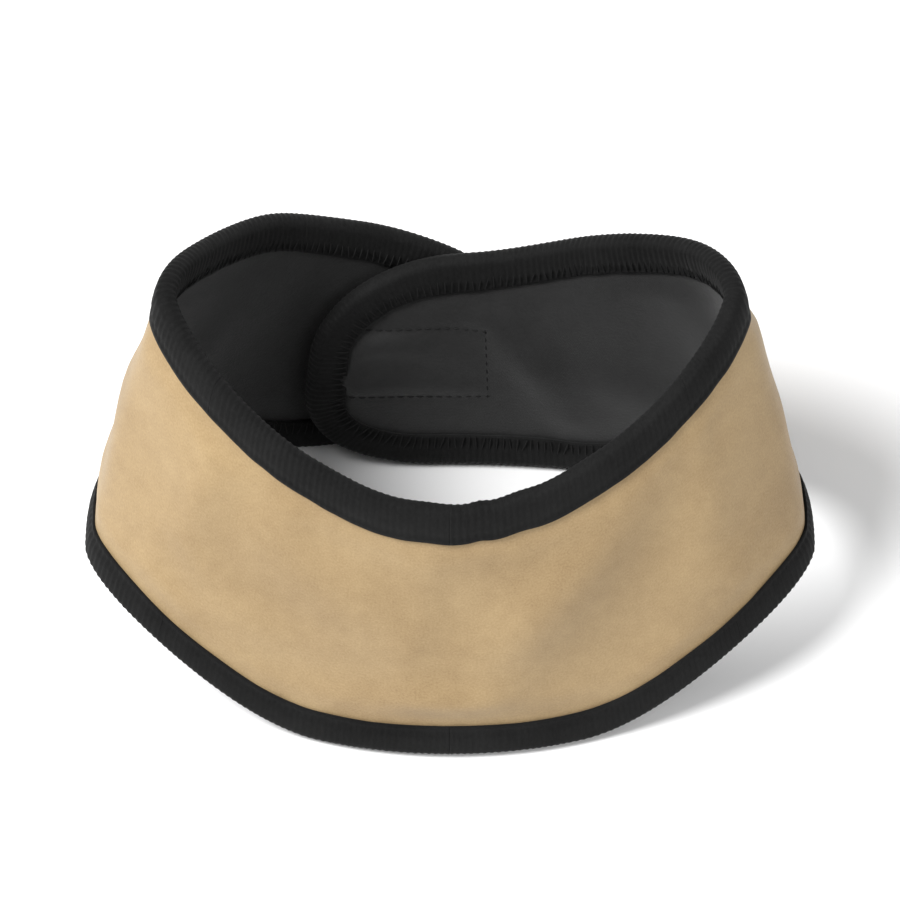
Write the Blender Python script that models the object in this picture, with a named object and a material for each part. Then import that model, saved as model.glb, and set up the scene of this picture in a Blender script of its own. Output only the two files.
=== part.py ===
"""Soft cervical collar, closed round the neck and standing on its lower edge.

The wall is a ruled band between a lower and an upper closed loop. A place on it is (u, w, n):
u runs round the loop from the front centre, -1 and 1 both being the back centre, w runs up the
wall in millimetres from its middle, and n runs outwards from the middle of its thickness.
The right wing (+X) runs past the back centre inside the left one, where the two fasten.
"""
import math

import bmesh
import bpy
import numpy as np
from mathutils import Vector

MM = 0.001  # every size below is in millimetres

# Lower edge of the wall, middle of its thickness
BASE_HALF_WIDTH = 91.0
BASE_HALF_DEPTH = 44.5
BASE_CENTRE_Y = -13.8
BASE_SIDE_LIFT = 24.0
BASE_FRONT_HEIGHT = 0.4
BASE_BACK_HEIGHT = 0.6
BASE_POWERS = (0.97, 1.38, 0.62)
FOOT_SINE = 0.35

# Upper edge of the wall
TOP_HALF_WIDTH = 68.5
TOP_HALF_DEPTH = 43.5
TOP_CENTRE_Y = 14.7
TOP_FRONT_HEIGHT = 74.5
TOP_SIDE_HEIGHT = 105.0
TOP_BACK_HEIGHT = 69.5
TOP_POWERS = (1.06, 1.40, 1.13)

# Layers, counted outwards from the middle of the foam
FOAM_THICKNESS = 1.6
FABRIC_THICKNESS = 0.6
TAPE_THICKNESS = 0.6
PATCH_THICKNESS = 0.7
LAYER_GAP = 0.3
FABRIC_INNER = FOAM_THICKNESS / 2 + LAYER_GAP
FABRIC_OUTER = FABRIC_INNER + FABRIC_THICKNESS
TAPE_INNER = FABRIC_OUTER + LAYER_GAP
TAPE_OUTER = TAPE_INNER + TAPE_THICKNESS
PATCH_INNER = FABRIC_OUTER + LAYER_GAP
PATCH_OUTER = PATCH_INNER + PATCH_THICKNESS

# Binding tape folded over the edge, and the soft corner of its fold
TAPE_WIDTH = 10.0
FOLD_SOFTENING = 0.8
FABRIC_INSET = TAPE_THICKNESS + LAYER_GAP

# Wing ends: how far each passes the back centre, and its two rounded corners (along, up)
RIGHT_PAST_CENTRE = 38.0
LEFT_PAST_CENTRE = 20.0
UPPER_CORNER = (44.0, 34.0)
LOWER_CORNER = (34.0, 27.0)
END_TAPER = 0.90
TAPER_FROM = 0.72

# The wings part by this much each, from the loop's surface, where they overlap
LAP_CLEARANCE = 0.8
LAP_OFFSET = max(PATCH_OUTER, TAPE_OUTER) + LAP_CLEARANCE
LAP_RAMP = (0.58, 0.78)

# Fastening patches
PATCH_WIDTH = 25.0
PATCH_LENGTH = 34.0
PATCH_MIDDLE = -3.0
PATCH_SEARCH_STEP = 0.25

# Fold lines between the wall's segments, as u, and the slit left at each
JAW_FOLD = 0.207
SIDE_FOLD = 0.5
NECK_FOLD = 0.73
TAB_FOLD = 0.865
FOLD_SLIT = 0.3

# Mesh steps
STATION_STEP = 8.0
SIDE_STEP = 4.5
SIDE_TURN = (0.38, 0.62)
WALL_STRIPS = 4
CORNER_STEPS = 6
LOOP_SAMPLES = 1601


def signed_power(values, power):
    return np.sign(values) * np.abs(values) ** power


def edge_loop(half_width, half_depth, centre_y, powers, heights):
    """Half of a closed edge from the front centre to the back centre, as evenly read points."""
    angles = np.linspace(0.0, math.pi, LOOP_SAMPLES)
    width_power, front_power, back_power = powers
    sines, cosines = np.sin(angles), np.cos(angles)
    x = half_width * signed_power(sines, width_power)
    depth_power = np.where(cosines > 0, front_power, back_power)
    y = centre_y - half_depth * signed_power(cosines, depth_power)
    points = np.column_stack([x, y, heights(sines, cosines)])
    lengths = np.concatenate([[0.0], np.cumsum(np.linalg.norm(np.diff(points, axis=0), axis=1))])
    return points, lengths / lengths[-1]


def base_heights(sines, cosines):
    rise = np.clip((sines - FOOT_SINE) / (1.0 - FOOT_SINE), 0.0, 1.0)
    middle = (BASE_FRONT_HEIGHT + BASE_BACK_HEIGHT) / 2
    tilt = (BASE_FRONT_HEIGHT - BASE_BACK_HEIGHT) / 2
    return middle + tilt * cosines + BASE_SIDE_LIFT * rise * rise * (3.0 - 2.0 * rise)


def top_heights(sines, cosines):
    middle = (TOP_FRONT_HEIGHT + TOP_BACK_HEIGHT) / 2
    tilt = (TOP_FRONT_HEIGHT - TOP_BACK_HEIGHT) / 2
    return TOP_SIDE_HEIGHT * sines**2 + middle * cosines**2 + tilt * cosines


BASE = edge_loop(BASE_HALF_WIDTH, BASE_HALF_DEPTH, BASE_CENTRE_Y, BASE_POWERS, base_heights)
TOP = edge_loop(TOP_HALF_WIDTH, TOP_HALF_DEPTH, TOP_CENTRE_Y, TOP_POWERS, top_heights)


def edge_point(edge, u):
    """The point of an edge at u. Past the back centre, u goes on round the other side."""
    points, fractions = edge
    fraction, side = abs(u), math.copysign(1.0, u)
    if fraction > 1.0:
        fraction, side = 2.0 - fraction, -side
    x, y, z = (float(np.interp(fraction, fractions, points[:, axis])) for axis in range(3))
    return Vector((side * x, y, z))


def wall_middle(u):
    return (edge_point(BASE, u) + edge_point(TOP, u)) / 2


def half_wall_length():
    points = [wall_middle(step / 200) for step in range(201)]
    return sum((b - a).length for a, b in zip(points, points[1:]))


HALF_LENGTH = half_wall_length()
RIGHT_END = 1.0 + RIGHT_PAST_CENTRE / HALF_LENGTH
LEFT_END = -1.0 - LEFT_PAST_CENTRE / HALF_LENGTH


def smooth(value, low, high):
    share = min(max((value - low) / (high - low), 0.0), 1.0)
    return share * share * (3.0 - 2.0 * share)


def wall_frame(u):
    """Middle of the wall at u, with the directions up it and out of it."""
    rise = (edge_point(TOP, u) - edge_point(BASE, u)).normalized()
    step = 2.0 / HALF_LENGTH
    travel = wall_middle(u + step) - wall_middle(u - step)
    out = travel.cross(rise).normalized()
    level = Vector((out.x, out.y, 0.0)).normalized()
    lap = -math.copysign(LAP_OFFSET, u) * smooth(abs(u), *LAP_RAMP) / level.dot(out)
    return wall_middle(u) + level * lap, rise, out


def wall_edge(u, up):
    """Height w of the wall's top (up = 1) or bottom (up = -1) edge. The top edge tapers to the wing ends."""
    length = (edge_point(TOP, u) - edge_point(BASE, u)).length
    trim = (1.0 - END_TAPER) * length * smooth(abs(u), TAPER_FROM, 1.0)
    return length / 2 - trim if up > 0 else -length / 2


def wall_point(u, w, n):
    middle, rise, out = wall_frame(u)
    return middle + rise * w + out * n


def stations(start, end):
    """u values from one fold to the next, closer together round the side of the neck."""
    values = [start]
    while True:
        tight = SIDE_TURN[0] < abs(values[-1]) < SIDE_TURN[1]
        step = (SIDE_STEP if tight else STATION_STEP) / HALF_LENGTH
        if abs(end - values[-1]) < 1.5 * step:
            return values + [end]
        values.append(values[-1] + math.copysign(step, end - start))


def corner_reach(distance, corner, inset):
    """How far a rounded corner holds the edge in, at a distance from the wing's end."""
    along, up = corner
    if distance >= along:
        return inset
    share = min((along - distance) / (along - inset), 1.0)
    return up - (up - inset) * math.sqrt(1.0 - share * share)


def wall_span(u, inset, end):
    """Lower and upper limit of a layer at u, with the wing's rounded end if it has one."""
    low, high = wall_edge(u, -1), wall_edge(u, 1)
    if end is None:
        return low + inset, high - inset
    distance = abs(end - u) * HALF_LENGTH
    low += corner_reach(distance, LOWER_CORNER, inset)
    return low, high - corner_reach(distance, UPPER_CORNER, inset)


def end_stations(start, end, inset):
    """Stations up to a rounded wing end, where they follow the larger corner's turn."""
    along = UPPER_CORNER[0]
    side = math.copysign(1.0, end)
    turn_start = end - side * along / HALF_LENGTH
    values = stations(start, turn_start) if abs(turn_start) > abs(start) else [start]
    for step in range(1, CORNER_STEPS + 3):
        angle = math.pi / 2 * step / (CORNER_STEPS + 2)
        distance = along - (along - inset) * math.sin(angle)
        value = end - side * distance / HALF_LENGTH
        if abs(value) > abs(start):
            values.append(value)
    return values


def strips(low, high):
    """Heights across a layer, with one at each inner edge of the binding tape."""
    margin = min(TAPE_WIDTH - FABRIC_INSET, (high - low) / 4)
    inner = [low + margin + (high - low - 2 * margin) * step / WALL_STRIPS for step in range(WALL_STRIPS + 1)]
    return [low] + inner + [high]


def swept_body(sections):
    """One closed solid through a row of sections, each a row of points and the row facing it."""
    mesh = bmesh.new()
    half = len(sections[0][0])
    count = 2 * half
    rings = []
    for first, second in sections:
        rings.append([mesh.verts.new(point * MM) for point in first + second[::-1]])
    for ring, following in zip(rings, rings[1:]):
        for index in range(count):
            after = (index + 1) % count
            mesh.faces.new((ring[index], ring[after], following[after], following[index]))
    for ring in (rings[0], rings[-1]):
        for index in range(half - 1):
            facing = count - 1 - index
            mesh.faces.new((ring[index], ring[index + 1], ring[facing - 1], ring[facing]))
    bmesh.ops.triangulate(mesh, faces=mesh.faces[:])
    bmesh.ops.recalc_face_normals(mesh, faces=mesh.faces[:])
    return mesh


def add_object(name, mesh, material):
    data = bpy.data.meshes.new(name)
    mesh.to_mesh(data)
    mesh.free()
    data.materials.append(material)
    data.shade_smooth()
    data.set_sharp_from_angle(angle=math.radians(35))
    piece = bpy.data.objects.new(name, data)
    bpy.context.scene.collection.objects.link(piece)
    return piece


def make_material(name, colour, roughness):
    material = bpy.data.materials.new(name)
    material.use_nodes = True
    shader = material.node_tree.nodes["Principled BSDF"]
    shader.inputs["Base Color"].default_value = (*colour, 1.0)
    shader.inputs["Roughness"].default_value = roughness
    shader.inputs["Metallic"].default_value = 0.0
    return material


def add_layer(name, material, segment, inner, outer):
    """One flat layer of the wall: a solid between two values of n."""
    start, end, wing_end = segment
    values = stations(start, end) if wing_end is None else end_stations(start, wing_end, FABRIC_INSET)
    sections = [layer_section(u, strips(*wall_span(u, FABRIC_INSET, wing_end)), inner, outer) for u in values]
    add_object(name, swept_body(sections), material)


def layer_section(u, heights, inner, outer):
    return [[wall_point(u, w, n) for w in heights] for n in (inner, outer)]


def tape_rows():
    """Outside and inside of the folded tape's section, as rows of (inwards from the edge, n)."""
    soft = FOLD_SOFTENING
    outside = [(TAPE_WIDTH, TAPE_OUTER), (2 * soft, TAPE_OUTER), (0.35 * soft, TAPE_OUTER - 0.35 * soft),
               (0.0, TAPE_OUTER - 1.5 * soft)]
    inside = [(TAPE_WIDTH, TAPE_INNER), (2 * soft, TAPE_INNER), (TAPE_THICKNESS, TAPE_INNER),
              (TAPE_THICKNESS, TAPE_OUTER - 1.5 * soft)]
    return [row + [(inwards, -n) for inwards, n in reversed(row)] for row in (outside, inside)]


def tape_section(u, w, inwards):
    """The tape's section across the edge at (u, w), turned to point inwards and set flat on the ground."""
    along, up = inwards
    rows = []
    for row in tape_rows():
        points = [wall_point(u + i * along / HALF_LENGTH, w + i * up, n) for i, n in row]
        rows.append([Vector((point.x, point.y, max(point.z, 0.0))) for point in points])
    return rows


def add_edge_tape(name, material, segment, up):
    """Tape along the top (up = 1) or bottom (up = -1) edge of one segment."""
    start, end, _ = segment
    sections = [tape_section(u, wall_edge(u, up), (0.0, -up)) for u in stations(start, end)]
    add_object(name, swept_body(sections), material)


def corner_path(end, corner, up, steps):
    """Places and inward directions round one corner of a wing end, from its edge to its end."""
    along, across = corner
    side = math.copysign(1.0, end)
    path = []
    for step in range(1, steps + 1):
        angle = math.pi / 2 * step / steps
        u = end - side * along * (1.0 - math.sin(angle)) / HALF_LENGTH
        w = wall_edge(u, up) - up * across * (1.0 - math.cos(angle))
        normal = Vector((math.sin(angle) / along, math.cos(angle) / across)).normalized()
        path.append((u, w, (-side * normal.x, -up * normal.y)))
    return path


def add_end_tape(name, material, segment):
    """One tape from the bottom edge round the wing's end and back along the top edge."""
    start, _, end = segment
    path = []
    for corner, up, order in ((LOWER_CORNER, -1.0, 1), (UPPER_CORNER, 1.0, -1)):
        turn_start = end - math.copysign(corner[0], end) / HALF_LENGTH
        straight = [(u, wall_edge(u, up), (0.0, -up)) for u in stations(start, turn_start)]
        path += (straight + corner_path(end, corner, up, CORNER_STEPS))[::order]
    add_object(name, swept_body([tape_section(*place) for place in path]), material)


def patch_far_end(end, side):
    """The u nearest the wing's end where the patch's full width fits inside the tape."""
    distance = TAPE_WIDTH + LAYER_GAP
    while True:
        distance += PATCH_SEARCH_STEP
        u = end - side * distance / HALF_LENGTH
        low, high = wall_span(u, TAPE_WIDTH + LAYER_GAP, end)
        if low < PATCH_MIDDLE - PATCH_WIDTH / 2 and high > PATCH_MIDDLE + PATCH_WIDTH / 2:
            return u


def add_patch(name, material, end, face):
    """Fastening patch near a wing's end, on its outer (face = 1) or inner (face = -1) side."""
    side = math.copysign(1.0, end)
    far = patch_far_end(end, side)
    near = far - side * PATCH_LENGTH / HALF_LENGTH
    heights = [PATCH_MIDDLE + PATCH_WIDTH * (step / 2 - 0.5) for step in range(3)]
    limits = (face * PATCH_INNER, face * PATCH_OUTER)
    add_object(name, swept_body([layer_section(u, heights, *limits) for u in stations(near, far)]), material)


def make_segments():
    """Each segment of the wall as (start, end, rounded wing end), with the slit taken off."""
    slit = FOLD_SLIT / 2 / HALF_LENGTH
    segments = {"front": (-JAW_FOLD + slit, JAW_FOLD - slit, None)}
    for name, side in (("right", 1.0), ("left", -1.0)):
        segments[f"{name}_jaw"] = (side * (JAW_FOLD + slit), side * (SIDE_FOLD - slit), None)
        segments[f"{name}_neck"] = (side * (SIDE_FOLD + slit), side * (NECK_FOLD - slit), None)
    segments["right_end"] = (NECK_FOLD + slit, RIGHT_END, RIGHT_END)
    segments["left_end"] = (-NECK_FOLD - slit, -TAB_FOLD + slit, None)
    segments["left_tab"] = (-TAB_FOLD - slit, LEFT_END, LEFT_END)
    return segments


def add_segment(name, segment):
    cover = make_material(f"{name}_outer_cover", (0.56, 0.39, 0.22), 0.55)
    foam = make_material(f"{name}_foam_core", (0.70, 0.66, 0.55), 0.95)
    lining = make_material(f"{name}_lining", (0.025, 0.025, 0.025), 0.80)
    tape = make_material(f"{name}_binding", (0.013, 0.013, 0.013), 0.70)
    add_layer(f"{name}_outer_cover", cover, segment, FABRIC_INNER, FABRIC_OUTER)
    add_layer(f"{name}_foam_core", foam, segment, -FOAM_THICKNESS / 2, FOAM_THICKNESS / 2)
    add_layer(f"{name}_lining", lining, segment, -FABRIC_OUTER, -FABRIC_INNER)
    if segment[2] is None:
        add_edge_tape(f"{name}_top_binding", tape, segment, 1.0)
        add_edge_tape(f"{name}_bottom_binding", tape.copy(), segment, -1.0)
    else:
        add_end_tape(f"{name}_binding", tape, segment)


def main():
    for piece in list(bpy.data.objects):
        bpy.data.objects.remove(piece)
    for name, segment in make_segments().items():
        add_segment(name, segment)
    patch_black, patch_roughness = (0.004, 0.004, 0.004), 0.95
    for name, end, face in (("right_hook_patch", RIGHT_END, 1.0), ("left_loop_patch", LEFT_END, -1.0)):
        add_patch(name, make_material(name, patch_black, patch_roughness), end, face)


main()
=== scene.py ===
"""Looks of a soft cervical collar, closed round the neck and standing on its lower edge.

The wall is a ruled band between a lower and an upper closed loop. A place on it is (u, w, n): u runs
round the loop from the front centre, -1 and 1 both being the back centre, w runs up the wall from
its middle, and n runs outwards from the middle of its thickness. Sizes here are in millimetres.
Every layer is cut into spans, each of which holds one fold line of the frame.
"""
import math

import bpy
import numpy as np
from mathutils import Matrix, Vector


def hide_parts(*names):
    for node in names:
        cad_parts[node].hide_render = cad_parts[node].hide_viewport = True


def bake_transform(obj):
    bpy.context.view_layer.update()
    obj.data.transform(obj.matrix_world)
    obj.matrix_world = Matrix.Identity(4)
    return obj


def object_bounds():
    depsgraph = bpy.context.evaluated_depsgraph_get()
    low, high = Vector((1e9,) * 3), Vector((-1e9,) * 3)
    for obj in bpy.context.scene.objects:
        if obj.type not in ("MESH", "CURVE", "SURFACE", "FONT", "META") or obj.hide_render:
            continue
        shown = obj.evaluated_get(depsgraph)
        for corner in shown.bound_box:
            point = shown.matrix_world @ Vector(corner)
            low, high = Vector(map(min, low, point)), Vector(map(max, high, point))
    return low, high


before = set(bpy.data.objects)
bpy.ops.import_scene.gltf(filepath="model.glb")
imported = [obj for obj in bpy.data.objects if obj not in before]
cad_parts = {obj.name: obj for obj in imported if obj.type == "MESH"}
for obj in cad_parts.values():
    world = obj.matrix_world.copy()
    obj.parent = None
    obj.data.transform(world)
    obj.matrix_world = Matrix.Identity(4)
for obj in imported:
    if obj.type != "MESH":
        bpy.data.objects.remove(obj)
cad_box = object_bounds()

MM = 0.001

# The wall's two edges, as the frame has them
BASE_HALF_WIDTH = 91.0
BASE_HALF_DEPTH = 44.5
BASE_CENTRE_Y = -13.8
BASE_SIDE_LIFT = 24.0
BASE_FRONT_HEIGHT = 0.4
BASE_BACK_HEIGHT = 0.6
BASE_POWERS = (0.97, 1.38, 0.62)
FOOT_SINE = 0.35
TOP_HALF_WIDTH = 68.5
TOP_HALF_DEPTH = 43.5
TOP_CENTRE_Y = 14.7
TOP_FRONT_HEIGHT = 74.5
TOP_SIDE_HEIGHT = 105.0
TOP_BACK_HEIGHT = 69.5
TOP_POWERS = (1.06, 1.40, 1.13)
LOOP_SAMPLES = 1601

# Layers, counted outwards from the middle of the foam
FOAM_OUTER = 0.8
FABRIC_INNER = 1.1
FABRIC_OUTER = 1.7
TAPE_INNER = 2.0
TAPE_OUTER = 2.6
FABRIC_INSET = 0.9
TAPE_WIDTH = 10.0

# Wing ends and the lap at the back
RIGHT_PAST_CENTRE = 38.0
LEFT_PAST_CENTRE = 20.0
UPPER_CORNER = (44.0, 34.0)
LOWER_CORNER = (34.0, 27.0)
END_TAPER = 0.90
TAPER_FROM = 0.72
LAP_OFFSET = 3.5
LAP_RAMP = (0.58, 0.78)

# Fold lines of the frame and the cuts half way between them, as u
JAW_FOLD = 0.207
SIDE_FOLD = 0.5
NECK_FOLD = 0.73
TAB_FOLD = 0.865
JAW_CUT = (JAW_FOLD + SIDE_FOLD) / 2
NECK_CUT = (SIDE_FOLD + NECK_FOLD) / 2
BACK_CUT = (NECK_FOLD + TAB_FOLD) / 2

# How far the padding swells the fabric out between the tapes, and its soft undulation
COVER_SWELL = 0.7
LINING_SWELL = 0.45
SWELL_WIDTH = 9.0
# Height of each wave, its scale along the loop and up the wall, and its seed
COVER_WAVES = [(0.30, 21.0, 30.0, 11), (0.14, 9.0, 12.0, 5)]
LINING_WAVES = [(0.30, 16.0, 22.0, 21), (0.18, 6.0, 9.0, 23)]
PUCKER_HEIGHT = 0.10
PUCKER_WIDTH = 7.0

# Cloth simulation of the cover, the most that it may move the fabric, and how far out of the tape
# the fabric is still held
CLOTH_STEP = 3.0
CLOTH_FRAMES = 24
CLOTH_SHRINK = -0.022
CLOTH_STIFFNESS = 25.0
CLOTH_BENDING = 1.6
CLOTH_PRESSURE = 1.5
CLOTH_GRAVITY = 0.15
CLOTH_LIMIT = 0.8
HELD_WITHIN = 0.5

# The fabric lies flatter where the wings lie on each other: by this share, over this range of u
LAP_PRESS = 0.85
LAP_PRESS_RANGE = (0.76, 0.86)

# Soft folds of the cover and the lining: place along the loop and up the wall, the way they run in
# degrees, half their length, half their width, and their height
COVER_FOLDS = [
    (27.0, 6.0, 42.0, 32.0, 11.0, 2.7),
    (-34.0, 9.0, -22.0, 34.0, 13.0, 1.7),
    (-4.0, -22.0, 4.0, 44.0, 7.0, 0.9),
    (66.0, -12.0, 66.0, 30.0, 11.0, 1.1),
    (-72.0, 8.0, -58.0, 30.0, 12.0, 1.0),
    (108.0, 8.0, 82.0, 30.0, 12.0, 1.1),
    (-110.0, -6.0, -76.0, 32.0, 12.0, 1.1),
    (148.0, -4.0, 24.0, 28.0, 11.0, 0.9),
    (-150.0, 4.0, 18.0, 30.0, 11.0, 0.9),
    (-190.0, -6.0, -12.0, 26.0, 8.0, 0.8),
    (186.0, 6.0, -20.0, 24.0, 9.0, 0.8),
    (-50.0, -16.0, 20.0, 26.0, 8.0, 0.7),
]
LINING_FOLDS = [
    (226.0, 3.0, 4.0, 17.0, 4.0, 1.6),
    (222.0, -9.5, -3.0, 20.0, 4.0, 1.5),
    (186.0, -3.0, 58.0, 24.0, 7.0, 2.0),
    (172.0, 9.0, -46.0, 22.0, 8.0, 1.1),
    (160.0, -12.0, 28.0, 26.0, 8.0, 1.0),
    (128.0, 2.0, 74.0, 28.0, 10.0, 1.2),
    (96.0, -6.0, 62.0, 30.0, 10.0, 1.1),
    (-100.0, 6.0, -70.0, 30.0, 10.0, 1.1),
    (-134.0, -4.0, -52.0, 28.0, 9.0, 1.2),
    (-160.0, 8.0, 34.0, 24.0, 8.0, 1.0),
    (-182.0, -6.0, -28.0, 22.0, 7.0, 0.9),
    (0.0, 0.0, 12.0, 60.0, 14.0, 0.9),
]

# Small bumps of the tape on the upper edge near the front: place along it, half their length, height
TOP_BUMPS = [(-6.0, 6.0, 0.55), (8.0, 2.6, 0.6), (19.0, 5.0, 0.6), (40.0, 9.0, 0.4), (-34.0, 9.0, 0.4)]

# Mesh steps
PANEL_STEP = 1.5
PANEL_COLUMNS = 48
CORNER_STEPS = 22
TAPE_STEP = 0.42
FOLD_DEPTH = 2.0
FOLD_STEPS = 8

# Fastening patches, placed from the end of their wing, with a margin of fabric held flat round them
PATCH_WIDTH = 25.0
PATCH_LENGTH = 34.0
PATCH_MIDDLE = -3.0
PATCH_FROM_TAPE = 5.5
PATCH_START = TAPE_WIDTH + PATCH_FROM_TAPE + PATCH_LENGTH
PATCH_TO_END = 4.0
PATCH_UNDER_TAPE = 3.0
PATCH_MARGIN = 1.5
PATCH_FADE = 3.0

# Hooks and loops standing on the patches: steps between them and how far each strays
PILE_ALONG = 0.85
PILE_ACROSS = 0.8
PILE_JITTER = 0.22

# The tape's section: how far it rounds out, where its inside lies from the middle of the wall and
# from its fold, how far its free edges stray and gather, and the groove that its seam pulls in
TAPE_PUFF = 0.22
TAPE_HOLLOW = 1.75
FOLD_CLEARANCE = 0.6
TAPE_WOBBLE = 0.28
OUTER_GATHER = 0.16
INNER_GATHER = 0.26
SEAM_INWARDS = 8.4
SEAM_DEPTH = 0.30
SEAM_WIDTH = 0.7
RIB_PITCH = 1.7
RIB_HEIGHT = 0.09

# Stitches: whipped along the tape's inner face, and in a box round each patch
OVERLOCK_INWARDS = TAPE_WIDTH - 2.4
BOX_INSET = 1.6
STITCH_PULL_WIDTH = 0.9
STITCH_LIFT = 0.1

# The map of every surface is in centimetres
MAP_UNIT = 10.0

# Materials
KNIT_DEPTH = 0.12 * MM
DYE_RANGE = (0.38, 0.62)
ROUGHNESS_SPREAD = 0.06

# Studio, in metres but for the lens
CAMERA_ELEVATION = math.radians(60.0)
CAMERA_DISTANCE = 1.08
CAMERA_LENS = 172.0
LIGHT_TARGET = Vector((0.0, 0.0, 0.04))
FLOOR_HALF = 6.0


# ---- the wall ----------------------------------------------------------------------------------

def signed_power(values, power):
    """A power of each value's size, with the value's own sign."""
    return np.sign(values) * np.abs(values) ** power


def edge_loop(half_width, half_depth, centre_y, powers, heights):
    """Half of a closed edge from the front centre to the back centre, with its length shares."""
    angles = np.linspace(0.0, math.pi, LOOP_SAMPLES)
    width_power, front_power, back_power = powers
    sines, cosines = np.sin(angles), np.cos(angles)
    x = half_width * signed_power(sines, width_power)
    y = centre_y - half_depth * signed_power(cosines, np.where(cosines > 0, front_power, back_power))
    points = np.column_stack([x, y, heights(sines, cosines)])
    lengths = np.concatenate([[0.0], np.cumsum(np.linalg.norm(np.diff(points, axis=0), axis=1))])
    return points, lengths / lengths[-1]


def base_heights(sines, cosines):
    """The lower edge stands on the ground at the front and the back and rises at the sides."""
    rise = np.clip((sines - FOOT_SINE) / (1.0 - FOOT_SINE), 0.0, 1.0)
    middle = (BASE_FRONT_HEIGHT + BASE_BACK_HEIGHT) / 2
    tilt = (BASE_FRONT_HEIGHT - BASE_BACK_HEIGHT) / 2
    return middle + tilt * cosines + BASE_SIDE_LIFT * rise * rise * (3.0 - 2.0 * rise)


def top_heights(sines, cosines):
    """The upper edge is highest at the sides, a little higher at the front than at the back."""
    middle = (TOP_FRONT_HEIGHT + TOP_BACK_HEIGHT) / 2
    tilt = (TOP_FRONT_HEIGHT - TOP_BACK_HEIGHT) / 2
    return TOP_SIDE_HEIGHT * sines**2 + middle * cosines**2 + tilt * cosines


BASE = edge_loop(BASE_HALF_WIDTH, BASE_HALF_DEPTH, BASE_CENTRE_Y, BASE_POWERS, base_heights)
TOP = edge_loop(TOP_HALF_WIDTH, TOP_HALF_DEPTH, TOP_CENTRE_Y, TOP_POWERS, top_heights)


def unit(vectors):
    """Each vector at length 1."""
    return vectors / np.linalg.norm(vectors, axis=-1, keepdims=True)


def smooth(values, low, high):
    """A soft step from 0 at low to 1 at high."""
    share = np.clip((values - low) / (high - low), 0.0, 1.0)
    return share * share * (3.0 - 2.0 * share)


def edge_points(edge, u):
    """Points of an edge at u. Past the back centre, u goes on round the other side."""
    points, fractions = edge
    fraction = np.abs(u)
    side = np.where(u < 0, -1.0, 1.0)
    past = fraction > 1.0
    side = np.where(past, -side, side)
    fraction = np.where(past, 2.0 - fraction, fraction)
    x, y, z = (np.interp(fraction, fractions, points[:, axis]) for axis in range(3))
    return np.stack([side * x, y, z], axis=-1)


def wall_middle(u):
    """Half way up the wall, before the wings are set apart at the lap."""
    return (edge_points(BASE, u) + edge_points(TOP, u)) / 2


HALF_LENGTH = float(np.linalg.norm(np.diff(wall_middle(np.linspace(0.0, 1.0, 201)), axis=0), axis=1).sum())
RIGHT_END = 1.0 + RIGHT_PAST_CENTRE / HALF_LENGTH
LEFT_END = -1.0 - LEFT_PAST_CENTRE / HALF_LENGTH


def wall_frames(u):
    """Middle of the wall at each u, with the directions up it and out of it."""
    rise = unit(edge_points(TOP, u) - edge_points(BASE, u))
    step = 2.0 / HALF_LENGTH
    out = unit(np.cross(wall_middle(u + step) - wall_middle(u - step), rise))
    level = unit(out * np.array([1.0, 1.0, 0.0]))
    lap = -np.sign(u) * LAP_OFFSET * smooth(np.abs(u), *LAP_RAMP) / (level * out).sum(axis=-1)
    return wall_middle(u) + level * lap[..., None], rise, out


def wall_points(u, w, n):
    """Points of the wall, in metres. The three arrays have one shape, or spread to one."""
    u, w, n = np.broadcast_arrays(u, w, n)
    middle, rise, out = wall_frames(u)
    return (middle + rise * w[..., None] + out * n[..., None]) * MM


def wall_edge(u, up):
    """Height w of the wall's top (up = 1) or bottom (up = -1) edge. The top tapers to the wing ends."""
    length = np.linalg.norm(edge_points(TOP, u) - edge_points(BASE, u), axis=-1)
    trim = (1.0 - END_TAPER) * length * smooth(np.abs(u), TAPER_FROM, 1.0)
    return length / 2 - trim if up > 0 else -length / 2


def corner_reach(distance, corner, inset):
    """How far a rounded corner holds the edge in, at a distance from the wing's end."""
    along, up = corner
    share = np.clip((along - distance) / (along - inset), 0.0, 1.0)
    return np.where(distance >= along, inset, up - (up - inset) * np.sqrt(1.0 - share * share))


def wall_span(u, inset):
    """Lower and upper limit of a layer at u, held in at the wings' rounded ends."""
    distance = np.where(u > 0, RIGHT_END - u, u - LEFT_END) * HALF_LENGTH
    low = wall_edge(u, -1) + corner_reach(distance, LOWER_CORNER, inset)
    return low, wall_edge(u, 1) - corner_reach(distance, UPPER_CORNER, inset)


# ---- spans: name, the two bodies, the fold between them, and the cuts at its ends ---------------

SPANS = [
    ("right_front", "front", "right_jaw", JAW_FOLD, 0.0, JAW_CUT),
    ("right_side", "right_jaw", "right_neck", SIDE_FOLD, JAW_CUT, NECK_CUT),
    ("right_wing", "right_neck", "right_end", NECK_FOLD, NECK_CUT, RIGHT_END),
    ("left_front", "front", "left_jaw", -JAW_FOLD, 0.0, -JAW_CUT),
    ("left_side", "left_jaw", "left_neck", -SIDE_FOLD, -JAW_CUT, -NECK_CUT),
    ("left_back", "left_neck", "left_end", -NECK_FOLD, -NECK_CUT, -BACK_CUT),
    ("left_wing", "left_end", "left_tab", -TAB_FOLD, -BACK_CUT, LEFT_END),
]
STANDS_FOR = {
    "right_front": ("front", "right_jaw"),
    "right_side": ("right_neck",),
    "right_wing": ("right_end",),
    "left_front": ("left_jaw",),
    "left_side": ("left_neck",),
    "left_back": ("left_end",),
    "left_wing": ("left_tab",),
}
PAD_MARGIN = 0.5


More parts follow.
